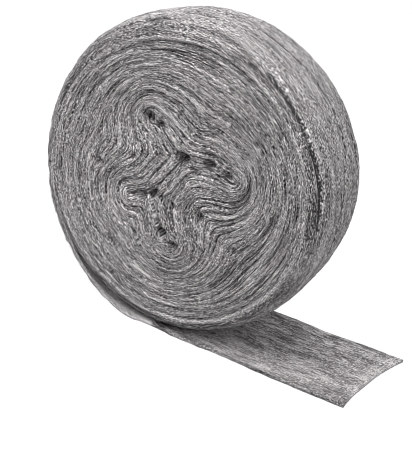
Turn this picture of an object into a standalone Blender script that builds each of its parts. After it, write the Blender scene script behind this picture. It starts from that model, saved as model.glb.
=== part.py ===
"""A coreless roll of steel wool ribbon, standing on its rim with the free end laid out flat.

The ribbon is one long strip, wound on edge around +Y. Its core was drawn out and the middle
fell in, so the inner turns close around a branching slit and fold between its branches. Each
turn keeps its share of the way from the slit out to the rim, so the turns change from the
slit's shape to the round of the rim. The last turn lies over the rounded rim, flattens where
it meets the ground and runs out along +X as the tail.

The turns are felted together in one solid. A spiral groove in each face is the seam between
one turn and the next, and the slit closes a little way in from the faces.

Metres, +Z up. The origin is on the ground, under the middle of the roll's axis.
"""

import math

import bmesh
import bpy
import numpy as np

RIBBON_WIDTH = 0.100
RIBBON_THICKNESS = 0.003
TURNS = 24

FACE_RADIUS = 0.119  # of the roll at its two flat faces
RIM_CROWN = 0.0115  # how much fuller the rim is at mid width
TOP_FULLNESS = 0.005  # how much more the rim swells at its top, where no weight presses it
TOP_ANGLE = math.radians(98)  # where the swelling is greatest, from +X
TOP_SPREAD = math.radians(52)
SHOULDER = 0.038  # width of the rounded shoulder beside each face
SETTLING = 0.001  # how far the soft rim sinks, which gives it a flat spot
SEAT_GAP = 0.0004  # between the flat spot and the ribbon under it
GROOVE_DEPTH = 0.0022  # of the seam between two turns at a face
EDGE_WANDER = 0.0014  # how far a turn's edge stands in or out at a face
EDGE_WAVES = ((1.618, 1.0), (4.236, 0.7), (7.382, 0.5))  # waves in a turn, and their heights
CORE_DEPTH = 0.0060  # of the slit that the core left, before the wool closes it
CORE_GAP = 0.0015  # half the width of the slit that the core left

TAIL_NEAR = 0.174  # length of the laid-out end past the axis, along its front edge
TAIL_FAR = 0.197  # and along its back edge
TAIL_HOLLOW = 0.004  # how far the torn end is hollowed between them
TAIL_STEPS = 12
LAST_TURN_SLACK = 0.002  # how far the last turn stands off, low on the left

# Creases round the rim: depth, and the way as degrees from +X and place from mid width
CREASES = {
    "front": (0.0026, ((0.0, -0.0465), (60.0, -0.0465))),
    "middle": (
        0.0022,
        (
            (-40.0, -0.014),
            (2.0, -0.018),
            (18.0, -0.009),
            (26.0, 0.001),
            (36.0, 0.003),
            (56.0, -0.004),
            (98.0, -0.009),
            (200.0, -0.016),
            (236.0, -0.014),
        ),
    ),
    "back": (
        0.0018,
        (
            (-40.0, 0.018),
            (0.0, 0.022),
            (50.0, 0.026),
            (80.0, 0.024),
            (110.0, 0.016),
            (150.0, 0.014),
            (200.0, 0.018),
        ),
    ),
}
CREASE_REACH = 0.0025  # from a crease's bottom to its lips
CREASE_FADE = 12.0  # degrees over which a crease runs out

# Corners of the slit that the core left, from the roll's axis: along X and up
SLIT = {
    "top_tip": (-0.022, 0.054),
    "top_bend": (-0.012, 0.048),
    "fork": (0.009, 0.028),
    "right_bend": (0.035, 0.029),
    "right_tip": (0.054, 0.023),
    "waist": (-0.005, 0.007),
    "low_fork": (-0.016, -0.008),
    "left_tip": (-0.036, -0.015),
    "low_bend": (-0.001, -0.042),
    "low_tip": (0.007, -0.047),
}
SLIT_RUNS = (
    ("top_tip", "top_bend", "fork", "waist", "low_fork", "low_bend", "low_tip"),
    ("fork", "right_bend", "right_tip"),
    ("low_fork", "left_tip"),
)
FOLD_ROUNDING = 0.08  # of the distance from the slit, where two folds meet
LEAST_ROUNDING = 0.0003

STEPS_PER_TURN = 48
RINGS = 90  # worked out between the innermost turn and the rim
RING_STEP = 0.0006
START_STEP = 0.00001
CLOSING_REACH = 0.6  # of RING_STEP, how near its start a ring counts as closed
LEAST_DISTANCE = 1e-9
LONGEST_RING = 7.5  # times the radius of the faces
RIM_SHARE = 0.99999  # stands for the rim itself, where way_out ends
SLOPE_REACH = 2e-5
BEND_WINDOW = 5
STRAIGHT_BEND = 4.0  # per metre, what counts as bend where a turn runs straight
SIDE_WIDTHS = (0.0, 0.14, 0.86, 0.96, 1.0)  # across the outer turns, besides the creases
LIFT_OFF = 82.5  # degrees before the ground where the last turn lifts off the roll
FLATTEN_FROM = 65.0  # degrees before the ground where the last turn starts to open out flat
FLATTEN_OVER = 54.0
LAID_DOWN = 270.0  # degrees round the axis where the last turn meets the ground
SHARP_ANGLE = 35.0  # degrees between faces, from which their shared edge is a sharp one

WOOL_GREY = (0.30, 0.29, 0.295, 1.0)
WOOL_METALLIC = 0.55
WOOL_ROUGHNESS = 0.62

RIM_RADIUS = FACE_RADIUS + RIM_CROWN
AXIS_HEIGHT = RIM_RADIUS - SETTLING
HALF_WIDTH = RIBBON_WIDTH / 2
WOUND_STEPS = TURNS * STEPS_PER_TURN
LIFT_OFF_STEP = WOUND_STEPS - round(LIFT_OFF / 360.0 * STEPS_PER_TURN)


def clear_scene():
    """Removes every object that the file opened with."""
    for old in list(bpy.data.objects):
        bpy.data.objects.remove(old)


def smooth_step(x):
    """0 below 0, 1 above 1, and smooth between them."""
    x = np.clip(x, 0.0, 1.0)
    return x * x * (3.0 - 2.0 * x)


def slit_distance(points):
    """Distance from the slit, rounded off where two of its branches are equally near."""
    near = []
    for run in SLIT_RUNS:
        for first, second in zip(run, run[1:]):
            start = np.array(SLIT[first])
            along = np.array(SLIT[second]) - start
            share = np.clip(((points - start) @ along) / (along @ along), 0.0, 1.0)
            foot = start + share[..., None] * along
            near.append(np.linalg.norm(points - foot, axis=-1))
    near = np.array(near)
    least = near.min(axis=0)
    rounding = np.maximum(LEAST_ROUNDING, FOLD_ROUNDING * least)
    return least - rounding * np.log(np.exp((least - near) / rounding).sum(axis=0))


def way_out(points):
    """How far out each point lies: 0 at the slit and 1 at the round of the faces."""
    inside = np.maximum(slit_distance(points), LEAST_DISTANCE)
    outside = FACE_RADIUS - np.linalg.norm(points, axis=-1)
    return inside / (inside + outside)


def steepest_way(points):
    """The step that would raise way_out from 0 to 1, along its steepest direction."""
    slope = np.stack(
        [
            way_out(points + offset) - way_out(points - offset)
            for offset in (np.array([SLOPE_REACH, 0.0]), np.array([0.0, SLOPE_REACH]))
        ],
        axis=-1,
    ) / (2.0 * SLOPE_REACH)
    return slope / (slope**2).sum(axis=-1, keepdims=True)


def ring_starts(shares):
    """The lowest point of each closed turn straight below the axis."""
    depths = np.arange(FACE_RADIUS, 0.0, -START_STEP)
    outs = way_out(np.stack([0.0 * depths, -depths], axis=-1))
    starts = [depths[int(np.argmax(outs <= share))] for share in shares]
    return np.array([(0.0, -depth) for depth in starts])


def closed_rings(shares):
    """Each closed turn as points RING_STEP apart, from straight down towards +X and round."""
    here = ring_starts(shares)
    travelled = [here]
    for _ in range(math.ceil(LONGEST_RING * FACE_RADIUS / RING_STEP)):
        way = steepest_way(here)
        way /= np.linalg.norm(way, axis=-1, keepdims=True)
        here = here + RING_STEP * np.stack([-way[:, 1], way[:, 0]], axis=-1)
        for _ in range(2):
            here = here + (shares - way_out(here))[:, None] * steepest_way(here)
        travelled.append(here)
    travelled = np.array(travelled)
    skipped = math.ceil(FACE_RADIUS / RING_STEP)
    rings = []
    for k in range(len(shares)):
        apart = np.linalg.norm(travelled[skipped:, k] - travelled[0, k], axis=-1)
        closes = skipped + int(np.argmax(apart < CLOSING_REACH * RING_STEP))
        rings.append(travelled[:closes, k])
    return rings


def spread_by_bend(ring):
    """STEPS_PER_TURN points of a closed ring, closer together where it bends more."""
    closed = np.vstack([ring, ring[:1]])
    run = np.diff(closed, axis=0)
    length = np.linalg.norm(run, axis=1)
    heading = np.unwrap(np.arctan2(run[:, 1], run[:, 0]))
    bend = np.abs(np.diff(np.append(heading, heading[0] + 2 * math.pi)))
    window = np.ones(BEND_WINDOW) / BEND_WINDOW
    bend = np.convolve(np.pad(bend, BEND_WINDOW, mode="wrap"), window, mode="same")
    bend = bend[BEND_WINDOW:-BEND_WINDOW]
    weight = np.sqrt(length * (bend + STRAIGHT_BEND * length))
    travelled = np.concatenate([[0.0], np.cumsum(weight)])
    wanted = travelled[-1] * np.arange(STEPS_PER_TURN) / STEPS_PER_TURN
    return np.stack([np.interp(wanted, travelled, closed[:, k]) for k in (0, 1)], axis=-1)


def crossing_lines():
    """Shares from the innermost turn to the rim, and every step's place on the ring of each."""
    shares = np.linspace(first_share(), 1.0, RINGS)
    shares[-1] = RIM_SHARE
    lines = np.array([spread_by_bend(ring) for ring in closed_rings(shares)])
    shares[-1] = 1.0
    return shares, lines


def first_share():
    """The share at which the innermost turn stands CORE_GAP from the slit."""
    return CORE_GAP / (CORE_GAP + FACE_RADIUS)


def turn_place(crossings, steps):
    """The place in the turns' plane of the seam below the turn, this many steps from the start."""
    shares, lines = crossings
    turns_out = steps / STEPS_PER_TURN / (TURNS + 1)
    share = first_share() + (1.0 - first_share()) * turns_out
    line = lines[:, int(steps) % STEPS_PER_TURN]
    return np.array([np.interp(share, shares, line[:, k]) for k in (0, 1)])


def crown_shape(y):
    """1 at mid width and 0 at the faces, over the rounded shoulders."""
    into = max(0.0, (abs(y) - (HALF_WIDTH - SHOULDER)) / SHOULDER)
    return math.sqrt(max(0.0, 1.0 - into**2))


def edge_wander(step, side):
    """How far a turn's edge stands in from the face, between 0 and EDGE_WANDER."""
    angle = 2 * math.pi * step / STEPS_PER_TURN
    wave = sum(height * math.sin(waves * (angle + side)) for waves, height in EDGE_WAVES)
    return EDGE_WANDER * (0.5 + 0.5 * wave / sum(height for _, height in EDGE_WAVES))


def opened_flat(step):
    """0 where the last turn follows the crown, 1 where it has opened out flat."""
    before_ground = (WOUND_STEPS - step) * 360.0 / STEPS_PER_TURN
    return float(smooth_step((FLATTEN_FROM - before_ground) / FLATTEN_OVER))


def slack(step):
    """How far the last turn stands off the roll, low on the left."""
    share = min(1.0, max(0.0, (step - LIFT_OFF_STEP) / (WOUND_STEPS - LIFT_OFF_STEP)))
    return LAST_TURN_SLACK * math.sin(math.pi * share)


def crown_height(point):
    """How far the rim's crown rises above the faces at this place round the axis."""
    angle = math.atan2(point[1], point[0]) - TOP_ANGLE
    angle = (angle + math.pi) % (2 * math.pi) - math.pi
    return RIM_CROWN + TOP_FULLNESS * math.exp(-((angle / TOP_SPREAD) ** 2))


def raised(point, height, lowest):
    """A point of the turns' plane moved out from the axis, and kept at or above lowest."""
    radius = np.linalg.norm(point)
    x, z = point * (radius + height) / radius
    return x, max(z + AXIS_HEIGHT, lowest)


def degrees_round(point):
    """The way round the axis, from -90 straight down and rising over +X."""
    degrees = math.degrees(math.atan2(point[1], point[0]))
    return degrees if degrees >= -90.0 else degrees + 360.0


def crease_columns(degrees):
    """Places across the rim and how far each is sunk, for the bottom and lips of every crease."""
    columns = []
    for depth, way in CREASES.values():
        angles, places = zip(*way)
        middle = float(np.interp(degrees, angles, places))
        past = max(angles[0] - degrees, degrees - angles[-1], 0.0)
        sunk = depth * float(smooth_step(1.0 - past / CREASE_FADE))
        columns += [(middle - CREASE_REACH, 0.0), (middle, sunk), (middle + CREASE_REACH, 0.0)]
    return columns


def across(degrees, row):
    """Points of a row from the front face to the back, each from its place and how far it sinks."""
    columns = [(-HALF_WIDTH + RIBBON_WIDTH * share, 0.0) for share in SIDE_WIDTHS]
    return [row(y, sunk) for y, sunk in sorted(columns + crease_columns(degrees))]


def body_row(crossings, step):
    """A row across the roll's own rim, which sits on the laid-out end with its flat spot."""
    point = turn_place(crossings, step)

    def place(y, sunk):
        height = crown_height(point) * crown_shape(y) - sunk
        x, z = raised(point, height, RIBBON_THICKNESS + SEAT_GAP)
        return x, y, z

    return across(degrees_round(point), place)


def last_turn_row(crossings, step, outer):
    """A row across the last turn after it lifts off: its inner wall, or its outer one."""
    point = turn_place(crossings, step + STEPS_PER_TURN * outer)
    flat = opened_flat(step)

    def place(y, sunk):
        height = crown_height(point) * (crown_shape(y) + (1.0 - crown_shape(y)) * flat)
        height += slack(step) - sunk * outer
        x, z = raised(point, height, 0.0 if outer else RIBBON_THICKNESS)
        return x, y, z

    return across(degrees_round(point), place)


def tail_row(step, outer):
    """A row across the laid-out end: its upper wall, or its lower one on the ground."""

    def place(y, sunk):
        share = y / RIBBON_WIDTH + 0.5
        end = TAIL_NEAR + (TAIL_FAR - TAIL_NEAR) * share
        end -= 4.0 * TAIL_HOLLOW * share * (1.0 - share)
        return end * step / TAIL_STEPS, y, 0.0 if outer else RIBBON_THICKNESS

    return across(LAID_DOWN, place)


def face_place(crossings, step, between):
    """A place on a turn, between its seam with the turn below and the one above."""
    share = between / STEPS_PER_TURN
    low, high = turn_place(crossings, step), turn_place(crossings, step + STEPS_PER_TURN)
    return low * (1.0 - share) + high * share


def face_line(crossings, start, end, between, depth):
    """A line of points along the turns on both faces.

    start and end are steps, between is 0 on a seam and STEPS_PER_TURN / 2 on a turn's ridge,
    and depth is how far the line stands in from the faces at a step and side.
    """
    line = []
    for step in range(start, end):
        x, z = face_place(crossings, step, between)
        front = -HALF_WIDTH + depth(step, 1)
        back = HALF_WIDTH - depth(step, 2)
        line.append([(x, front, z + AXIS_HEIGHT), (x, back, z + AXIS_HEIGHT)])
    return line


def seam_depth(step, side):
    """How far the groove between two turns stands in from a face."""
    return GROOVE_DEPTH + edge_wander(step, side)


def core_depth(step, side):
    """How far the slit's floor stands in from a face."""
    return CORE_DEPTH


def make_rows(mesh, rows):
    """Makes the points of some rows."""
    return [[mesh.verts.new(point) for point in row] for row in rows]


def join_rows(mesh, rows):
    """Faces between each row and the next."""
    for row, after in zip(rows, rows[1:]):
        for k in range(len(row) - 1):
            mesh.faces.new((row[k], row[k + 1], after[k + 1], after[k]))


def roll_mesh(crossings):
    """The roll and its laid-out end as one closed mesh."""
    mesh = bmesh.new()
    lift = LIFT_OFF_STEP
    rim_steps = range(lift, lift + STEPS_PER_TURN)
    rim = make_rows(mesh, [body_row(crossings, step) for step in rim_steps])
    walls = []
    for outer in (False, True):
        rows = [last_turn_row(crossings, step, outer) for step in range(lift, WOUND_STEPS)]
        rows += [tail_row(step, outer) for step in range(TAIL_STEPS + 1)]
        walls.append(make_rows(mesh, rows if outer else rows[1:]))
    under, over = [rim[0], *walls[0]], walls[1]
    join_rows(mesh, [*rim, over[0]])
    join_rows(mesh, under)
    join_rows(mesh, over)
    join_rows(mesh, [under[-1], over[-1]])
    seams = make_rows(mesh, face_line(crossings, 0, lift, 0.0, seam_depth))
    seams += [[row[0], row[-1]] for row in (*rim, over[0])]
    ridges = make_rows(mesh, face_line(crossings, 0, lift + 1, STEPS_PER_TURN / 2, edge_wander))
    floor = make_rows(mesh, face_line(crossings, 0, STEPS_PER_TURN + 1, 0.0, core_depth))
    for side, end in ((0, 0), (1, -1)):
        for step in range(lift):
            seam, ridge = seams[step][side], ridges[step][side]
            next_seam, next_ridge = seams[step + 1][side], ridges[step + 1][side]
            above, next_above = seams[step + STEPS_PER_TURN][side], seams[step + STEPS_PER_TURN + 1][side]
            mesh.faces.new((seam, next_seam, next_ridge, ridge))
            mesh.faces.new((ridge, next_ridge, next_above, above))
        mesh.faces.new((seams[lift][side], ridges[lift][side], over[0][end]))
        for step in range(len(under) - 1):
            mesh.faces.new((under[step][end], under[step + 1][end], over[step + 1][end], over[step][end]))
        for step in range(STEPS_PER_TURN):
            mesh.faces.new(
                (seams[step][side], seams[step + 1][side], floor[step + 1][side], floor[step][side])
            )
        last, first = seams[STEPS_PER_TURN][side], seams[0][side]
        mesh.faces.new((last, ridges[0][side], first, floor[0][side], floor[-1][side]))
        mesh.faces.new([pair[side] for pair in floor])
    bmesh.ops.recalc_face_normals(mesh, faces=mesh.faces)
    return mesh


def wool_material():
    """Dull grey steel fibre."""
    material = bpy.data.materials.new("steel_wool")
    material.use_nodes = True
    shader = material.node_tree.nodes["Principled BSDF"]
    shader.inputs["Base Color"].default_value = WOOL_GREY
    shader.inputs["Metallic"].default_value = WOOL_METALLIC
    shader.inputs["Roughness"].default_value = WOOL_ROUGHNESS
    return material


def build_roll():
    """The whole ribbon as one object."""
    strip = roll_mesh(crossing_lines())
    data = bpy.data.meshes.new("wool_ribbon")
    strip.to_mesh(data)
    strip.free()
    data.materials.append(wool_material())
    data.shade_smooth()
    data.set_sharp_from_angle(angle=math.radians(SHARP_ANGLE))
    roll = bpy.data.objects.new("wool_ribbon", data)
    bpy.context.scene.collection.objects.link(roll)
    return roll


clear_scene()
build_roll()
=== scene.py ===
"""The looks of a coreless steel wool roll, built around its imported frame.

The ribbon is laid out by its own coordinates: the way along it from its inner end, the share of
its thickness from its inner wall to its outer one, and the place across its width. The turns keep
their share of the way from the slit that the core left out to the rim, as the frame's turns do.
"""

import logging
import math
from dataclasses import dataclass, field
from enum import Enum

import bpy
import numpy as np
from mathutils import Matrix, Vector


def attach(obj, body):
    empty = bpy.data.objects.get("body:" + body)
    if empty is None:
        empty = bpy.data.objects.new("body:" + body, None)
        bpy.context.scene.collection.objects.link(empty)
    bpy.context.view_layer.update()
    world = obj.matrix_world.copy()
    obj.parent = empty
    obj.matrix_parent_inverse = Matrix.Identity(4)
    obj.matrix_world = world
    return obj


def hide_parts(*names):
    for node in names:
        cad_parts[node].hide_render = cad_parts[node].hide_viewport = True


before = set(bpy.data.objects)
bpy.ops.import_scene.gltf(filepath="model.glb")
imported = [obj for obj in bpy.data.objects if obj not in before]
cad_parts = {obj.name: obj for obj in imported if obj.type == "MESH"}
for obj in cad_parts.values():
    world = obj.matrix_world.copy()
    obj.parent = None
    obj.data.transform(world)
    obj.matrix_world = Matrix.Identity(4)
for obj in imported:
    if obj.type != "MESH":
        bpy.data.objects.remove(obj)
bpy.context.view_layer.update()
NODE = "wool_ribbon"
BODY = "root"
FULL_TURN = 360.0
TURNS_APART = 0.0001

log = logging.getLogger("steel_wool_roll")

Array = np.ndarray


class Face(Enum):
    """The two flat faces of the roll, by the way they look along Y."""

    FRONT = -1
    BACK = 1


def smooth_step(x: Array) -> Array:
    """Returns 0 below 0, 1 above 1, and a smooth rise between them."""
    x = np.clip(x, 0.0, 1.0)
    return x * x * (3.0 - 2.0 * x)


def hashed(column: Array, row: Array, seed: int) -> Array:
    """Gives every cell of a grid its own fixed number.

    Args:
        column: whole numbers along the grid.
        row: whole numbers across it.
        seed: picks another set of numbers.

    Returns:
        Numbers from 0 to 1.
    """
    mask = 0xFFFFFFFF
    mixed = (column.astype(np.int64) * 374761393 + row.astype(np.int64) * 668265263 + seed * 362437) & mask
    mixed = ((mixed ^ (mixed >> 13)) * 1274126177) & mask
    mixed = ((mixed ^ (mixed >> 15)) * 2246822519) & mask
    return (mixed ^ (mixed >> 16)) / float(mask)


def streaks(along: Array, across: Array, length: float, width: float, seed: int) -> Array:
    """A smooth random field whose marks are longer along the fibres than across them.

    Args:
        along: places along the fibres, in metres.
        across: places across them, in metres.
        length: length of a mark.
        width: width of a mark.
        seed: picks another field.

    Returns:
        Values from 0 to 1.
    """
    x, y = along / length, across / width
    x = x + 0.5 * hashed(np.floor(y + 0.5), np.zeros_like(y), seed + 11)
    column, row = np.floor(x), np.floor(y)
    right, up = smooth_step(x - column), smooth_step(y - row)
    low = hashed(column, row, seed) * (1 - right) + hashed(column + 1, row, seed) * right
    high = hashed(column, row + 1, seed) * (1 - right) + hashed(column + 1, row + 1, seed) * right
    return low * (1 - up) + high * up


@dataclass(frozen=True)
class RollSizes:
    """Sizes of the roll, as its frame has them, in metres."""

    width: float = 0.100
    thickness: float = 0.003
    turns: int = 24
    ribbon_share: float = 0.97
    face_radius: float = 0.119
    crown: float = 0.0115
    top_fullness: float = 0.005
    top_angle: float = 98.0
    top_spread: float = 52.0
    shoulder: float = 0.038
    settling: float = 0.001
    seat_gap: float = 0.0004
    core_gap: float = 0.0004
    core_filled: float = 0.88
    tail_near: float = 0.174
    tail_far: float = 0.197
    tail_hollow: float = 0.004
    slack: float = 0.002
    fold_rounding: float = 0.08
    crown_from: float = 85.0
    crown_over: float = 15.0
    crown_lead: float = 10.0
    lift_off: float = 82.5
    flatten_from: float = 65.0
    flatten_over: float = 54.0

    @property
    def axis_height(self) -> float:
        """Height of the roll's axis above the ground."""
        return self.face_radius + self.crown - self.settling

    @property
    def first_share(self) -> float:
        """The share of the way out at which the innermost turn starts."""
        return self.core_gap / (self.core_gap + self.face_radius)

    @property
    def turn_room(self) -> float:
        """What one turn takes of the way out."""
        return (1.0 - self.first_share) / (self.turns + self.ribbon_share)


@dataclass(frozen=True)
class CoreSlit:
    """Corners of the slit that the core left, from the roll's axis: along X and up."""

    top_tip: tuple = (-0.022, 0.054)
    top_bend: tuple = (-0.012, 0.048)
    fork: tuple = (0.009, 0.028)
    right_bend: tuple = (0.035, 0.029)
    right_tip: tuple = (0.054, 0.023)
    waist: tuple = (-0.005, 0.007)
    low_fork: tuple = (-0.016, -0.008)
    left_tip: tuple = (-0.036, -0.015)
    low_bend: tuple = (-0.001, -0.042)
    low_tip: tuple = (0.007, -0.047)

    def branches(self) -> list:
        """Splits the slit into straight parts.

        Returns:
            The parts as pairs of corners.
        """
        runs = (
            (self.top_tip, self.top_bend, self.fork, self.waist),
            (self.waist, self.low_fork, self.low_bend, self.low_tip),
            (self.fork, self.right_bend, self.right_tip),
            (self.low_fork, self.left_tip),
        )
        return [(np.array(a), np.array(b)) for run in runs for a, b in zip(run, run[1:])]


@dataclass
class Windings:
    """The ribbon's way round the roll, as a table of closed turns from the slit to the rim."""

    sizes: RollSizes
    slit: CoreSlit
    columns: int = 480
    rings: int = 90
    ring_step: float = 0.0006
    start_step: float = 0.00001
    longest_ring: float = 7.5
    closing_share: float = 0.6
    rim_share: float = 0.99999
    reach: float = 2e-5
    least_rounding: float = 0.0003
    bend_window: int = 5
    straight_bend: float = 12.0
    table: Array = field(init=False)
    shares: Array = field(init=False)
    turn_at: Array = field(init=False)
    run_at: Array = field(init=False)

    def __post_init__(self) -> None:
        """Works out the table and the ribbon's length."""
        self.shares = np.linspace(self.sizes.first_share, 1.0, self.rings)
        self.shares[-1] = self.rim_share
        self.table = np.array([self.spread(ring) for ring in self.closed_rings()])
        self.shares[-1] = 1.0
        self.turn_at = np.linspace(0.0, self.sizes.turns, self.sizes.turns * self.columns + 1)
        middle = self.plane(self.turn_at, np.full_like(self.turn_at, 0.5))
        self.run_at = np.concatenate([[0.0], np.cumsum(np.linalg.norm(np.diff(middle, axis=0), axis=1))])

    @property
    def wound_length(self) -> float:
        """Length of the ribbon from its inner end to where it lies down under the roll."""
        return float(self.run_at[-1])

    def way_out(self, points: Array) -> Array:
        """How far out each point lies.

        Args:
            points: X and height from the roll's axis.

        Returns:
            Shares of the way, 0 at the slit and 1 at the round of the faces.
        """
        near = []
        for start, end in self.slit.branches():
            along = end - start
            share = np.clip(((points - start) @ along) / (along @ along), 0.0, 1.0)
            near.append(np.linalg.norm(points - start - share[..., None] * along, axis=-1))
        near = np.array(near)
        least = near.min(axis=0)
        rounding = np.maximum(self.least_rounding, self.sizes.fold_rounding * least)
        inside = least - rounding * np.log(np.exp((least - near) / rounding).sum(axis=0))
        inside = np.maximum(inside, 1e-9)
        return inside / (inside + self.sizes.face_radius - np.linalg.norm(points, axis=-1))

    def steepest(self, points: Array) -> Array:
        """The step that would raise way_out from 0 to 1, along its steepest direction.

        Args:
            points: X and height from the roll's axis.

        Returns:
            Steps along X and up.
        """
        offsets = (np.array([self.reach, 0.0]), np.array([0.0, self.reach]))
        rises = [self.way_out(points + offset) - self.way_out(points - offset) for offset in offsets]
        slope = np.stack(rises, axis=-1) / (2.0 * self.reach)
        return slope / (slope**2).sum(axis=-1, keepdims=True)

    def closed_rings(self) -> list:
        """Walks round the slit once at each share of the way out.

        Returns:
            Each closed turn as evenly spaced points, from straight down towards +X and round.
        """
        radius = self.sizes.face_radius
        depths = np.arange(radius, 0.0, -self.start_step)
        outs = self.way_out(np.stack([0.0 * depths, -depths], axis=-1))
        here = np.array([(0.0, -depths[int(np.argmax(outs <= share))]) for share in self.shares])
        travelled = [here]
        for _ in range(math.ceil(self.longest_ring * radius / self.ring_step)):
            way = self.steepest(here)
            way /= np.linalg.norm(way, axis=-1, keepdims=True)
            here = here + self.ring_step * np.stack([-way[:, 1], way[:, 0]], axis=-1)
            for _ in range(2):
                here = here + (self.shares - self.way_out(here))[:, None] * self.steepest(here)
            travelled.append(here)
        travelled = np.array(travelled)
        skipped = math.ceil(radius / self.ring_step)
        rings = []
        for k in range(len(self.shares)):
            apart = np.linalg.norm(travelled[skipped:, k] - travelled[0, k], axis=-1)
            closed = skipped + int(np.argmax(apart < self.closing_share * self.ring_step))
            rings.append(travelled[:closed, k])
        return rings

    def spread(self, ring: Array) -> Array:
        """Picks the table's points of a closed ring, closer together where it bends more.

        Args:
            ring: evenly spaced points.

        Returns:
            As many points as the table has columns.
        """
        closed = np.vstack([ring, ring[:1]])
        run = np.diff(closed, axis=0)
        length = np.linalg.norm(run, axis=1)
        heading = np.unwrap(np.arctan2(run[:, 1], run[:, 0]))
        bend = np.abs(np.diff(np.append(heading, heading[0] + 2 * math.pi)))
        window = np.ones(self.bend_window) / self.bend_window
        bend = np.convolve(np.pad(bend, self.bend_window, mode="wrap"), window, mode="same")
        bend = bend[self.bend_window : -self.bend_window]
        weight = np.sqrt(length * (bend + self.straight_bend * length))
        travelled = np.concatenate([[0.0], np.cumsum(weight)])
        wanted = travelled[-1] * np.arange(self.columns) / self.columns
        return np.stack([np.interp(wanted, travelled, closed[:, k]) for k in (0, 1)], axis=-1)

    def turn_of(self, run: Array) -> Array:
        """The turn, counted from the inner end, at a way along the ribbon."""
        return np.interp(run, self.run_at, self.turn_at)

    def plane(self, turn: Array, depth: Array) -> Array:
        """Places of the ribbon in the plane of its turns.

        Args:
            turn: turns from the inner end.
            depth: share of the ribbon's thickness, from its inner wall to its outer one.

        Returns:
            X and height from the roll's axis.
        """
        sizes = self.sizes
        opened = smooth_step((turn - sizes.core_filled) / (1.0 - sizes.core_filled))
        inner = sizes.first_share + np.where(turn < 1.0, turn * opened, turn) * sizes.turn_room
        outer = sizes.first_share + (turn + sizes.ribbon_share) * sizes.turn_room
        share = inner + (outer - inner) * depth
        row = np.interp(share, self.shares, np.arange(self.rings, dtype=float))
        column = (turn % 1.0) * self.columns
        low_row = np.minimum(row.astype(int), self.rings - 2)
        low_column = column.astype(int) % self.columns
        next_column = (low_column + 1) % self.columns
        up = (row - low_row)[..., None]
        right = (column - np.floor(column))[..., None]
        table = self.table
        near = table[low_row, low_column] * (1 - right) + table[low_row, next_column] * right
        far = table[low_row + 1, low_column] * (1 - right) + table[low_row + 1, next_column] * right
        return near * (1 - up) + far * up


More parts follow.
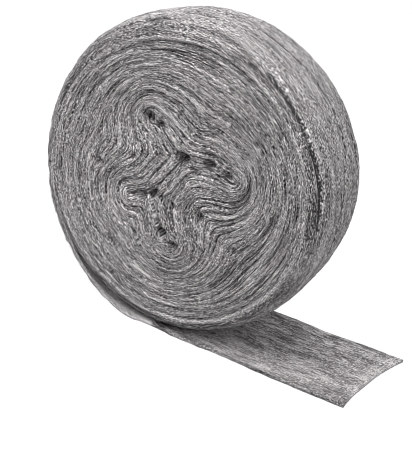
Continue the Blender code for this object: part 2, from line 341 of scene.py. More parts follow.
@dataclass
class WoolRibbon:
    """The whole ribbon: it turns its own coordinates into places in the frame."""

    windings: Windings

    @property
    def sizes(self) -> RollSizes:
        """The roll's sizes."""
        return self.windings.sizes

    def crown_shape(self, y: Array) -> Array:
        """The section of the rim's crown, with its rounded shoulders.

        Args:
            y: places across the width.

        Returns:
            Shares of the crown's height, 1 at mid width and 0 at the faces.
        """
        half = self.sizes.width / 2
        into = np.clip((np.abs(y) - (half - self.sizes.shoulder)) / self.sizes.shoulder, 0.0, 1.0)
        return np.sqrt(1.0 - into**2)

    def crown_height(self, point: Array) -> Array:
        """How far the rim's crown rises above the faces, most near the top of the roll.

        Args:
            point: X and height from the roll's axis.

        Returns:
            Heights in metres.
        """
        sizes = self.sizes
        apart = np.degrees(np.arctan2(point[..., 1], point[..., 0])) - sizes.top_angle
        apart = (apart + FULL_TURN / 2) % FULL_TURN - FULL_TURN / 2
        return sizes.crown + sizes.top_fullness * np.exp(-((apart / sizes.top_spread) ** 2))

    def full_crown(self, turn: Array) -> Array:
        """Returns 0 where a turn is covered by a full one, 1 where it fills the crown itself."""
        start = self.sizes.turns - 1 - self.sizes.crown_from / FULL_TURN
        return smooth_step((turn - start) * FULL_TURN / self.sizes.crown_over)

    def wall_place(self, turn: Array, depth: float, y: Array) -> Array:
        """Places on the inner or the outer wall of the wound ribbon.

        Args:
            turn: turns from the inner end.
            depth: 0 for the inner wall and 1 for the outer one.
            y: places across the width.

        Returns:
            Places in the frame.
        """
        sizes = self.sizes
        crown = self.full_crown(turn - 1 + depth)
        flat_from = sizes.turns - sizes.flatten_from / FULL_TURN
        flat = smooth_step((turn - flat_from) * FULL_TURN / sizes.flatten_over)
        start = sizes.turns - sizes.lift_off / FULL_TURN
        late = np.clip((turn - start) / (sizes.turns - start), 0.0, 1.0)
        shape = self.crown_shape(y)
        point = self.windings.plane(turn, np.full_like(turn, depth))
        radius = np.linalg.norm(point, axis=-1)
        rise = self.crown_height(point) * (shape + (1 - shape) * flat)
        height = crown * (rise + sizes.slack * np.sin(math.pi * late))
        point = point * ((radius + height) / radius)[..., None]
        over_tail = turn < sizes.turns - 0.5
        seat = np.where(over_tail, sizes.thickness + sizes.seat_gap, sizes.thickness * (1.0 - depth))
        return np.stack([point[..., 0], y, np.maximum(point[..., 1] + sizes.axis_height, seat)], axis=-1)

    def tail_place(self, run: Array, depth: Array, y: Array) -> Array:
        """Places in the laid-out end.

        Args:
            run: way along the ribbon past the point under the axis.
            depth: share of its thickness, from its upper wall to the one on the ground.
            y: place across its width.

        Returns:
            Places in the frame.
        """
        sizes = self.sizes
        share = y / sizes.width + 0.5
        end = sizes.tail_near + (sizes.tail_far - sizes.tail_near) * share
        end = end - 4.0 * sizes.tail_hollow * share * (1.0 - share)
        return np.stack([end * run / sizes.tail_far, y, sizes.thickness * (1.0 - depth)], axis=-1)

    def place(self, run: Array, depth: Array, y: Array) -> Array:
        """Places in the frame of points of the ribbon.

        Args:
            run: way along the ribbon from its inner end.
            depth: share of its thickness, from its inner wall to its outer one.
            y: place across its width.

        Returns:
            Places in the frame.
        """
        run, depth, y = np.broadcast_arrays(run, depth, y)
        turn = self.windings.turn_of(run)
        inner = self.wall_place(turn, 0.0, y)
        outer = self.wall_place(turn, 1.0, y)
        wound = inner + (outer - inner) * depth[..., None]
        past = run - self.windings.wound_length
        return np.where((past > 0)[..., None], self.tail_place(past, depth, y), wound)

    @property
    def full_length(self) -> float:
        """Length of the ribbon from its inner end to its longest corner."""
        return self.windings.wound_length + self.sizes.tail_far

    @property
    def last_turn_starts(self) -> float:
        """Way along the ribbon at which it starts to carry the crown."""
        turn = self.sizes.turns - 1 - (self.sizes.crown_from + self.sizes.crown_lead) / FULL_TURN
        return float(np.interp(turn, self.windings.turn_at, self.windings.run_at))


def linked_object(name: str, points: Array, faces: list) -> bpy.types.Object:
    """Makes an object of points and faces, at the origin and shaded smooth.

    Args:
        name: the object's name.
        points: places of its points.
        faces: each face as numbers of its points.

    Returns:
        The new object.
    """
    mesh = bpy.data.meshes.new(name)
    mesh.from_pydata(points.tolist(), [], faces)
    mesh.shade_smooth()
    made = bpy.data.objects.new(name, mesh)
    bpy.context.scene.collection.objects.link(made)
    return made


def swept_strip(name: str, loops: Array, uv: Array, shade: Array) -> bpy.types.Object:
    """Joins closed cross-sections into one closed strip.

    Args:
        name: the object's name.
        loops: places, by section along the strip and point round it.
        uv: the map's values for the same points, and once more for the first point of each
            section, after the last.
        shade: how far each point lies in the shade of its neighbours, kept in the attribute
            "shade".

    Returns:
        The new object.
    """
    sections, around = loops.shape[:2]
    number = np.arange(sections * around).reshape(sections, around)
    ahead = np.roll(number, -1, axis=1)
    quads = np.stack([number[:-1], ahead[:-1], ahead[1:], number[1:]], axis=-1).reshape(-1, 4)
    faces = quads.tolist() + [number[0, ::-1].tolist(), number[-1].tolist()]
    made = linked_object(name, loops.reshape(-1, 3), faces)
    corners = np.stack([uv[:-1, :-1], uv[:-1, 1:], uv[1:, 1:], uv[1:, :-1]], axis=2).reshape(-1, 2)
    corners = np.concatenate([corners, uv[0, -2::-1], uv[-1, :-1]])
    layer = made.data.uv_layers.new(name="ribbon")
    layer.data.foreach_set("uv", corners.astype(np.float32).ravel())
    shaded = made.data.attributes.new("shade", "FLOAT", "POINT")
    shaded.data.foreach_set("value", shade.astype(np.float32).ravel())
    return made


@dataclass(frozen=True)
class Hollow:
    """A place on the front face where the wool has fallen in."""

    x: float
    height: float
    reach: float
    depth: float


FRONT_HOLLOWS = (
    Hollow(0.009, 0.028, 0.0045, 0.012),
    Hollow(-0.033, -0.013, 0.0050, 0.009),
    Hollow(-0.024, -0.011, 0.0045, 0.010),
    Hollow(-0.015, -0.008, 0.0035, 0.010),
    Hollow(-0.024, 0.054, 0.0035, 0.009),
    Hollow(-0.014, 0.050, 0.0035, 0.009),
    Hollow(0.033, 0.030, 0.0035, 0.008),
    Hollow(0.050, 0.025, 0.0030, 0.007),
    Hollow(-0.002, -0.040, 0.0035, 0.009),
    Hollow(0.011, -0.047, 0.0030, 0.008),
    Hollow(-0.036, 0.018, 0.0030, 0.005),
    Hollow(-0.006, -0.010, 0.0030, 0.006),
    Hollow(0.004, -0.013, 0.0030, 0.006),
    Hollow(0.031, -0.015, 0.0030, 0.006),
    Hollow(0.062, -0.034, 0.0035, 0.006),
    Hollow(0.020, 0.020, 0.0030, 0.005),
    Hollow(-0.068, 0.005, 0.0030, 0.005),
)


@dataclass
class WoundTurns:
    """The turns whose edges make the two faces of the roll."""

    ribbon: WoolRibbon
    hollows: tuple = FRONT_HOLLOWS
    step: float = 0.0017
    edge_points: int = 9
    wander: float = 0.0018
    wander_length: float = 0.045
    rounding: float = 0.0004
    fibre_relief: float = 0.0016
    fine_mark: tuple = (0.006, 0.0007)
    finer_mark: tuple = (0.003, 0.0004)
    cleft_mark: tuple = (0.022, 0.0013)
    cleft_depth: float = 0.0030
    cleft_limit: float = 0.68
    cleft_gain: float = 1.6
    fine_share: float = 0.65
    turn_thickness: float = 0.0042
    lit_depth: float = 0.0020
    shaded_over: float = 0.0030
    shade_limits: tuple = (-0.5, 1.5)
    roll_off_from: float = 0.092
    roll_off: float = 0.0028

    def edge_depth(self, run: Array, depth: Array, face: Face) -> Array:
        """How far the wool at a face stands in from the ribbon's full width.

        Args:
            run: way along the ribbon.
            depth: share of its thickness.
            face: which face.

        Returns:
            Depths in metres, 0 at the full width.
        """
        seed = 5 if face is Face.FRONT else 505
        across = depth * self.turn_thickness
        turn = self.ribbon.windings.turn_of(run)
        slow = streaks(run, turn * 0.0, self.wander_length, 1.0, seed)
        fine = streaks(run, across, *self.fine_mark, seed + 1)
        finer = streaks(run, across, *self.finer_mark, seed + 2)
        cleft = streaks(run, across, *self.cleft_mark, seed + 3)
        split = smooth_step((cleft - self.cleft_limit) / (1 - self.cleft_limit) * self.cleft_gain)
        point = self.ribbon.windings.plane(*np.broadcast_arrays(turn, depth))
        edge_width = self.ribbon.sizes.face_radius - self.roll_off_from
        out = np.clip((np.linalg.norm(point, axis=-1) - self.roll_off_from) / edge_width, 0.0, 1.0)
        rounded = self.rounding * (2 * depth - 1) ** 4 + self.roll_off * out**2
        relief = self.fibre_relief * (self.fine_share * fine + (1 - self.fine_share) * finer)
        fallen = self.fallen(turn, depth) if face is Face.FRONT else 0.0
        return self.wander * slow + relief + rounded + self.cleft_depth * split + fallen

    def shade_of(self, depth: Array) -> Array:
        """Returns a shade that grows with the depth at which the wool at a face lies."""
        return np.clip((depth - self.lit_depth) / self.shaded_over, *self.shade_limits)

    def fallen(self, turn: Array, depth: Array) -> Array:
        """How far the wool has fallen in at the hollows of the front face.

        Args:
            turn: turns from the inner end.
            depth: share of the ribbon's thickness.

        Returns:
            Depths in metres.
        """
        turn, depth = np.broadcast_arrays(turn, depth)
        point = self.ribbon.windings.plane(turn, depth)
        deepest = np.zeros(turn.shape)
        for hollow in self.hollows:
            apart = np.hypot(point[..., 0] - hollow.x, point[..., 1] - hollow.height) / hollow.reach
            deepest = np.maximum(deepest, hollow.depth * np.exp(-(apart**2)))
        return deepest

    def strip(self, name: str, start: float, end: float) -> bpy.types.Object:
        """Builds the turns between two ways along the ribbon.

        Args:
            name: the object's name.
            start: way along the ribbon of the first section.
            end: way along the ribbon of the last.

        Returns:
            One closed strip.
        """
        sizes = self.ribbon.sizes
        run = np.linspace(start, end, max(2, int((end - start) / self.step)))[:, None]
        depth = np.linspace(0.0, 1.0, self.edge_points)
        half = sizes.width / 2
        front_depth = self.edge_depth(run, depth[None], Face.FRONT)
        back_depth = self.edge_depth(run, depth[None, ::-1], Face.BACK)
        front = self.ribbon.place(run, depth[None], front_depth - half)
        back = self.ribbon.place(run, depth[None, ::-1], half - back_depth)
        shade = self.shade_of(np.concatenate([front_depth, back_depth], axis=1))
        across = np.concatenate([depth, 2 - depth[::-1], [2.0]]) * self.turn_thickness
        uv = np.stack(np.broadcast_arrays(run, across[None]), axis=-1)
        return swept_strip(name, np.concatenate([front, back], axis=1), uv, shade)


@dataclass(frozen=True)
class Crease:
    """A line along the rim where the wool has sunk in, or stands out where the depth is negative."""

    path: tuple
    depth: float
    width: float
    fade: float = 5.0

    def sunk(self, angle: Array, y: Array) -> Array:
        """How far the rim's wool stands in at places round the roll and across it.

        Args:
            angle: degrees from +X, rising towards the top.
            y: places across the width.

        Returns:
            Depths in metres.
        """
        angles, places = np.array(self.path).T
        fade = smooth_step((angle - angles[0]) / self.fade) * smooth_step((angles[-1] - angle) / self.fade)
        apart = (y - np.interp(angle, angles, places)) / self.width
        return self.depth * fade * np.exp(-(apart**2))


FRONT_CREASE = ((0.0, -0.0465), (60.0, -0.0465))
MIDDLE_CREASE = (
    (-40.0, -0.014),
    (2.0, -0.018),
    (18.0, -0.009),
    (26.0, 0.001),
    (36.0, 0.003),
    (56.0, -0.004),
    (98.0, -0.009),
    (200.0, -0.016),
    (236.0, -0.014),
)
BACK_CREASE = (
    (-40.0, 0.018),
    (0.0, 0.022),
    (50.0, 0.026),
    (80.0, 0.024),
    (110.0, 0.016),
    (150.0, 0.014),
    (200.0, 0.018),
)
RIM_CREASES = (
    Crease(FRONT_CREASE, 0.0026, 0.0010),
    Crease(MIDDLE_CREASE, 0.0022, 0.0012),
    Crease(BACK_CREASE, 0.0018, 0.0012),
    Crease(((5.0, -0.044), (30.0, -0.044), (43.0, -0.045), (62.0, -0.040)), -0.0012, 0.0012),
    Crease(((40.0, -0.024), (60.0, -0.028), (80.0, -0.026), (98.0, -0.030)), 0.0010, 0.0010),
    Crease(((95.0, -0.041), (120.0, -0.043), (150.0, -0.042), (190.0, -0.044)), 0.0014, 0.0010),
)


@dataclass
class LastTurn:
    """The outer turn with the crown and shoulders of the rim, and the laid-out end."""

    ribbon: WoolRibbon
    turns: WoundTurns
    step: float = 0.0020
    across_points: int = 130
    under_points: int = 34
    edge_points: int = 5
    edge_share: float = 0.6
    inner_share: float = 0.8
    relief: float = 0.0013
    long_share: float = 0.4
    fullness: float = 0.0014
    swells: tuple = ((0.0022, 138.0, 24.0), (0.0020, 8.0, 30.0))
    shaded_over: float = 0.0022
    crease_shaded_over: float = 0.0005
    shoulder_from: float = 0.62
    shoulder_shade: float = 3.6
    low_shade: float = 3.0
    edge_shade: float = 4.5
    strata_level: float = 0.35
    long_mark: tuple = (0.030, 0.0035)
    fine_mark: tuple = (0.007, 0.0011)
    strata_mark: tuple = (0.030, 0.0017)
    band_mark: tuple = (0.045, 0.0075)
    knot_mark: tuple = (0.006, 0.0060)
    band_sway: float = 0.003
    band_wave: float = 0.017
    band_shade: float = 7.0
    band_share: float = 0.65
    band_level: float = 0.38
    contact_shade: float = 8.0
    contact_reach: float = 0.030
    contact_level: float = 0.4
    creases: tuple = RIM_CREASES

    def sections(self) -> Array:
        """Spaces the cross-sections.

        Returns:
            Their ways along the ribbon, one row each.
        """
        start = self.ribbon.last_turn_starts
        end = self.ribbon.full_length
        return np.linspace(start, end, int((end - start) / self.step))[:, None]

    def round_angle(self, run: Array) -> Array:
        """Finds where on the rim the outer wall lies.

        Args:
            run: way along the ribbon.

        Returns:
            Degrees from +X towards +Z, from -90 to 270.
        """
        point = self.ribbon.windings.plane(self.ribbon.windings.turn_of(run), np.ones_like(run))
        angle = np.degrees(np.arctan2(point[..., 1], point[..., 0]))
        return np.where(angle < -90.0, angle + FULL_TURN, angle)

    def creased(self, run: Array, y: Array) -> Array:
        """How far the rim's creases sink the outer wool.

        Args:
            run: way along the ribbon.
            y: place across its width.

        Returns:
            Depths in metres, negative on a ridge.
        """
        angle = self.round_angle(run)
        laid_out = run > self.ribbon.windings.wound_length
        return np.where(laid_out, 0.0, sum(crease.sunk(angle, y) for crease in self.creases))

    def swollen(self, run: Array) -> Array:
        """How far the outer wool stands out beyond the crown.

        Args:
            run: way along the ribbon.

        Returns:
            Heights in metres, 0 on the laid-out end.
        """
        angle = self.round_angle(run)
        out = self.fullness
        for rise, middle, spread in self.swells:
            out = out + rise * np.exp(-(((angle - middle) / spread) ** 2))
        return np.where(run > self.ribbon.windings.wound_length, 0.0, out)

    def rim_relief(self, run: Array, y: Array, way: Array) -> Array:
        """How far the outer wool stands in below the full round of the rim.

        Args:
            run: way along the ribbon.
            y: place across its width.
            way: way along its round section.

        Returns:
            Depths in metres.
        """
        long = streaks(run, way, *self.long_mark, 21)
        fine = streaks(run, way, *self.fine_mark, 22)
        rough = self.long_share * long + (1 - self.long_share) * fine
        return self.relief * rough + self.creased(run, y) - self.swollen(run)

    @staticmethod
    def taper(way: Array, reach: float) -> Array:
        """Lets the rim's relief run out at its two edges.

        Args:
            way: way along the round section from mid width.
            reach: way from mid width to an edge.

        Returns:
            Shares of the relief, 1 at mid width and 0 at the edges.
        """
        return np.sqrt(np.clip(1.0 - np.abs(way / reach) ** 6, 0.0, 1.0))

    def outer_section(self) -> tuple:
        """Spaces the points of the outer wall evenly along its round section.

        Returns:
            Places across the width, and ways along the section from mid width.
        """
        sizes = self.ribbon.sizes
        places = sizes.width / 2 * np.sin(np.linspace(-math.pi / 2, math.pi / 2, 2001))
        rise = (sizes.crown + sizes.top_fullness) * self.ribbon.crown_shape(places)
        travelled = np.concatenate([[0.0], np.cumsum(np.hypot(np.diff(places), np.diff(rise)))])
        way = np.linspace(0.0, travelled[-1], self.across_points)
        return np.interp(way, travelled, places)[None], way[None] - travelled[-1] / 2

    def between_edges(self, run: Array, y: Array, depth: float) -> Array:
        """Moves places across the full width to between the uneven edges of the wool.

        Args:
            run: way along the ribbon.
            y: place across its full width.
            depth: share of its thickness.

        Returns:
            Places in metres.
        """
        half = self.ribbon.sizes.width / 2
        level = np.full_like(run, depth)
        first = -half + self.edge_share * self.turns.edge_depth(run, level, Face.FRONT)
        last = half - self.edge_share * self.turns.edge_depth(run, level, Face.BACK)
        return first + (last - first) * (y + half) / (2 * half)

    def inner_relief(self, run: Array, y: Array) -> Array:
        """How far the wool's inner wall, the upper one of the laid-out end, is sunk."""
        return self.inner_share * self.rim_relief(run, y + 1.0, y + 1.0)

    def outer_wall(self, run: Array, y: Array, sunk: Array) -> Array:
        """Places on the rim's wool.

        Args:
            run: way along the ribbon.
            y: place across its width.
            sunk: how far below the full round of the rim.

        Returns:
            Places in the frame.
        """
        outer = self.ribbon.place(run, 1.0, y)
        inward = self.ribbon.place(run, 0.0, y) - outer
        inward /= np.maximum(np.linalg.norm(inward, axis=-1, keepdims=True), 1e-9)
        return outer + inward * sunk[..., None]

    def loop_at(self, run: Array) -> tuple:
        """The closed cross-sections.

        Args:
            run: ways along the ribbon, one row each.

        Returns:
            The places, the map's values and the shade.
        """
        sizes = self.ribbon.sizes
        half = sizes.width / 2
        edge = np.linspace(0.0, 1.0, self.edge_points)[None]
        out_y, way = self.outer_section()
        in_y = np.linspace(half, -half, self.under_points)[None]
        front_y = -half + self.edge_share * self.turns.edge_depth(run, edge, Face.FRONT)
        back_y = half - self.edge_share * self.turns.edge_depth(run, edge[:, ::-1], Face.BACK)
        front = self.ribbon.place(run, edge, -half)
        front[..., 1] = front_y
        back = self.ribbon.place(run, edge[:, ::-1], half)
        back[..., 1] = back_y
        sunk = self.rim_relief(run, out_y, way)
        outer = self.outer_wall(run, out_y, sunk * self.taper(way, way.max()))
        outer[..., 1] = self.between_edges(run, out_y, 1.0)
        inner = self.ribbon.place(run, self.inner_relief(run, in_y) / sizes.thickness, in_y)
        inner[..., 1] = self.between_edges(run, in_y, 0.0)
        loops = np.concatenate([front[:, :-1], outer, back[:, 1:-1], inner[:, :-1]], axis=1)
        loops[..., 2] = np.maximum(loops[..., 2], 0.0)
        shade = np.zeros(loops.shape[:2])
        outer_part = slice(front.shape[1] - 1, front.shape[1] - 1 + outer.shape[1])
        strata = streaks(run, way, *self.strata_mark, 24)
        rolled = np.clip((-way / way.max() - self.shoulder_from) / (1.0 - self.shoulder_from), 0.0, 1.0)
        past = run > self.ribbon.windings.wound_length
        shade[:, : outer_part.start] = np.where(past, self.edge_shade, 0.0)
        # Painted shade: darker the deeper the rim's wool is sunk, and darkest in its creases; on a ridge,
        # where a crease's depth is negative, it is painted highlight instead.
        shade[:, outer_part] = (sunk + self.swollen(run) - self.fullness) / self.shaded_over
        shade[:, outer_part] += self.creased(run, out_y) / self.crease_shaded_over
        low = np.clip(-np.sin(np.radians(self.round_angle(run))), 0.0, 1.0) ** 4
        darker = self.shoulder_shade * rolled + self.low_shade * low
        shade[:, outer_part] += darker * (self.strata_level + strata)
        shade[:, 1 - inner.shape[1] :] = self.laid_out_shade(run, in_y[:, :-1])
        bevel = self.turns.turn_thickness * (1 - edge)
        reach = way.max()
        over_back = reach + bevel[:, ::-1]
        under = over_back[:, -1:] + half - in_y
        across = np.concatenate([-reach - bevel[:, :-1], way, over_back[:, 1:-1], under], axis=1)
        return loops, np.stack(np.broadcast_arrays(run, across), axis=-1), shade

    def laid_out_shade(self, run: Array, y: Array) -> Array:
        """Darkens the laid-out end in uneven lengthwise bands and where the roll rests on it.

        Args:
            run: way along the ribbon.
            y: place across its width.

        Returns:
            The shade, 0 on the wound part.
        """
        past = run - self.ribbon.windings.wound_length
        sway = self.band_sway * np.sin(run / self.band_wave)
        bands = streaks(run, y + sway, *self.band_mark, 25)
        knots = streaks(run, y, *self.knot_mark, 26)
        contact = np.exp(-((np.maximum(past, 0.0) / self.contact_reach) ** 2))
        mixed = self.band_share * bands + (1 - self.band_share) * knots
        banded = self.band_shade * np.clip(mixed - self.band_level, 0.0, 1.0)
        shade = banded + self.contact_shade * contact * (self.contact_level + knots)
        return np.where(past > 0.0, shade, 0.0)

    def build(self, name: str) -> bpy.types.Object:
        """Builds the outer turn and the laid-out end as one closed strip."""
        return swept_strip(name, *self.loop_at(self.sections()))


class Layer(Enum):
    """Where a batch of fibres lies."""

    FRONT_EDGE = "front"
    BACK_EDGE = "back"
    RIM = "rim"
    TAIL = "tail"


FIBRE_BATCHES = (
    ("front_fibres", Layer.FRONT_EDGE, 14000, 1),
    ("back_fibres", Layer.BACK_EDGE, 7000, 2),
    ("rim_fibres", Layer.RIM, 9000, 3),
    ("tail_fibres", Layer.TAIL, 5000, 4),
)


@dataclass
class Fibres:
    """Loose bundles of fibre that lie on the wool and follow its turns."""

    ribbon: WoolRibbon
    turns: WoundTurns
    last: LastTurn
    points: int = 3
    radius: float = 0.00024
    radius_range: tuple = (0.55, 1.3)
    tip: float = 0.12
    crease_left_clear: float = 0.0007
    hidden_depth: float = 0.0012
    laid_out_share: float = 0.95
    rim_share: float = 0.99
    shortest: float = 0.004
    longest: float = 0.011
    rim_length_share: float = 1.2
    lowest: float = -0.0005
    highest: float = 0.0002
    wave: float = 0.00014
    first_run: float = 0.03
    depth_range: tuple = (0.05, 0.95)
    depth_slant: float = 0.14
    way_slant: float = 0.0009
    way_wave: float = 0.0001
    rim_from: float = 0.86
    rim_to: float = 0.02
    tail_end_gap: float = 0.008
    tone_range: dict = field(
        default_factory=lambda: {
            Layer.FRONT_EDGE: (0.0, 1.0),
            Layer.BACK_EDGE: (0.0, 1.0),
            Layer.RIM: (0.15, 0.85),
            Layer.TAIL: (0.10, 0.80),
        }
    )

    def spots(self, layer: Layer, count: int, seed: int) -> Array:
        """Draws where each bundle lies.

        Args:
            layer: where the bundles lie.
            count: how many.
            seed: of the random draws.

        Returns:
            Places in the frame, by bundle and point along it.
        """
        rng = np.random.default_rng(seed)
        end = self.ribbon.windings.wound_length
        length = rng.uniform(self.shortest, self.longest, count)
        reach = np.linspace(-0.5, 0.5, self.points)[None]
        lift = rng.uniform(self.lowest, self.highest, count)[:, None]
        lift = lift + self.wave * rng.normal(size=(count, self.points))
        if layer in (Layer.FRONT_EDGE, Layer.BACK_EDGE):
            middle = rng.uniform(self.first_run, end, count)
            run = middle[:, None] + length[:, None] * reach
            depth = rng.uniform(*self.depth_range, count)[:, None]
            depth = depth + rng.normal(0, self.depth_slant, count)[:, None] * reach
            depth = np.clip(depth, 0.0, 1.0)
            face = Face.FRONT if layer is Layer.FRONT_EDGE else Face.BACK
            stand = self.ribbon.sizes.width / 2 - self.turns.edge_depth(run, depth, face) + lift
            return self.ribbon.place(run, depth, face.value * stand)
        length = length * self.rim_length_share
        places, ways = self.last.outer_section()
        share = self.rim_share if layer is Layer.RIM else self.laid_out_share
        way = share * rng.uniform(-1.0, 1.0, count)[:, None] * ways.max()
        way = way + rng.normal(0, self.way_slant, count)[:, None] * reach
        way = way + rng.normal(0, self.way_wave, (count, self.points))
        y = np.interp(way, ways[0], places[0])
        if layer is Layer.RIM:
            middle = rng.uniform(end - self.rim_from, end - self.rim_to, count)
            return self.on_rim(middle[:, None] + length[:, None] * reach, y, way, lift)
        middle = end + rng.uniform(0.0, self.ribbon.sizes.tail_far - self.tail_end_gap, count)
        return self.on_laid_out_end(middle[:, None] + length[:, None] * reach, y, lift)

    def on_rim(self, run: Array, y: Array, way: Array, lift: Array) -> Array:
        """Lays bundles on the rim, and buries those that would bridge a crease.

        Args:
            run: way along the ribbon.
            y: place across its width.
            way: way along its round section.
            lift: how far the bundles stand out of the wool.

        Returns:
            Places in the frame.
        """
        clear = (np.abs(self.last.creased(run, y)).max(axis=1) < self.crease_left_clear)[:, None, None]
        edge = self.last.outer_section()[1].max()
        sunk = self.last.rim_relief(run, y, way) * self.last.taper(way, edge)
        raised = self.last.outer_wall(run, y, sunk - lift)
        buried = self.last.outer_wall(run, y, sunk + self.hidden_depth)
        spots = np.where(clear, raised, buried)
        spots[..., 1] = self.last.between_edges(run, y, 1.0)
        return spots

    def on_laid_out_end(self, run: Array, y: Array, lift: Array) -> Array:
        """Lays bundles on the laid-out end.

        Args:
            run: way along the ribbon.
            y: place across its width.
            lift: how far the bundles stand out of the wool.

        Returns:
            Places in the frame.
        """
        depth = (self.last.inner_relief(run, y) - lift) / self.ribbon.sizes.thickness
        spots = self.ribbon.place(run, depth, y)
        spots[..., 1] = self.last.between_edges(run, y, 0.0)
        return spots

    def build(self, name: str, layer: Layer, count: int, seed: int) -> bpy.types.Object:
        """Builds one batch of bundles as thin three-sided rods.

        Args:
            name: the object's name.
            layer: where the bundles lie.
            count: how many.
            seed: of the random draws.

        Returns:
            The new object, with each bundle's tone in the attribute "tone".
        """
        spot = self.spots(layer, count, seed)
        rng = np.random.default_rng(seed + 1)
        along = np.gradient(spot, axis=1)
        along /= np.maximum(np.linalg.norm(along, axis=-1, keepdims=True), 1e-9)
        side = np.cross(along, rng.normal(size=(count, 1, 3)))
        side /= np.maximum(np.linalg.norm(side, axis=-1, keepdims=True), 1e-9)
        up = np.cross(side, along)
        swell = np.sin(np.linspace(self.tip, 1 - self.tip, self.points) * math.pi)[None, :, None]
        thick = self.radius * rng.uniform(*self.radius_range, (count, 1, 1)) * swell
        corners = [
            spot + thick * (math.cos(angle) * side + math.sin(angle) * up)
            for angle in (0.0, 2 * math.pi / 3, 4 * math.pi / 3)
        ]
        rods = np.stack(corners, axis=2)
        rods[..., 2] = np.maximum(rods[..., 2], 0.0)
        number = np.arange(rods[..., 0].size).reshape(rods.shape[:3])
        ahead = np.roll(number, -1, axis=2)
        quads = np.stack([number[:, :-1], ahead[:, :-1], ahead[:, 1:], number[:, 1:]], axis=-1)
        faces = quads.reshape(-1, 4).tolist()
        faces += number[:, 0, ::-1].tolist() + number[:, -1].tolist()
        made = linked_object(name, rods.reshape(-1, 3), faces)
        tone = made.data.attributes.new("tone", "FLOAT", "POINT")
        darkest, brightest = self.tone_range[layer]
        tones = np.repeat(rng.uniform(darkest, brightest, count), self.points * 3)
        tone.data.foreach_set("value", tones.astype(np.float32))
        return made


@dataclass(frozen=True)
class Tones:
    """Greys of the wool, from its shaded gaps to its bright fibres."""

    gap: tuple = (0.018, 0.017, 0.018, 1.0)
    dark: tuple = (0.082, 0.078, 0.081, 1.0)
    middle: tuple = (0.31, 0.298, 0.300, 1.0)
    bright: tuple = (0.88, 0.854, 0.850, 1.0)


RIM_TONES = Tones(
    gap=(0.030, 0.029, 0.030, 1.0),
    dark=(0.118, 0.113, 0.116, 1.0),
    middle=(0.335, 0.322, 0.323, 1.0),
    bright=(0.76, 0.738, 0.735, 1.0),
)


@dataclass(frozen=True)
class Finish:
    """What the finishes of steel fibre share: a dull shine and a ramp of greys."""

    name: str
    tones: Tones = Tones()
    metallic: float = 0.50
    roughness: float = 0.55
    specular: float = 0.35
    edge_tint: float = 0.35

    def started(self) -> tuple:
        """Starts a material with the shine of steel fibre.

        Returns:
            The material, its nodes, its links and its shader.
        """
        material = bpy.data.materials.new(self.name)
        material.use_nodes = True
        nodes, links = material.node_tree.nodes, material.node_tree.links
        shader = nodes["Principled BSDF"]
        shader.inputs["Metallic"].default_value = self.metallic
        shader.inputs["Roughness"].default_value = self.roughness
        shader.inputs["Specular IOR Level"].default_value = self.specular
        shader.inputs["Specular Tint"].default_value = (self.edge_tint,) * 3 + (1.0,)
        return material, nodes, links, shader

    @staticmethod
    def greys(nodes: bpy.types.Nodes, value: bpy.types.NodeSocket, stops: tuple) -> bpy.types.NodeSocket:
        """Turns a value into greys.

        Args:
            nodes: the material's nodes.
            value: what the grey follows.
            stops: the ramp's places with their greys, in rising order.

        Returns:
            The grey.
        """
        ramp = nodes.new("ShaderNodeValToRGB")
        elements = ramp.color_ramp.elements
        for element, (place, grey) in zip(elements, (stops[0], stops[-1])):
            element.position = place
            element.color = grey
        for place, grey in stops[1:-1]:
            elements.new(place).color = grey
        ramp.id_data.links.new(value, ramp.inputs["Fac"])
        return ramp.outputs["Color"]


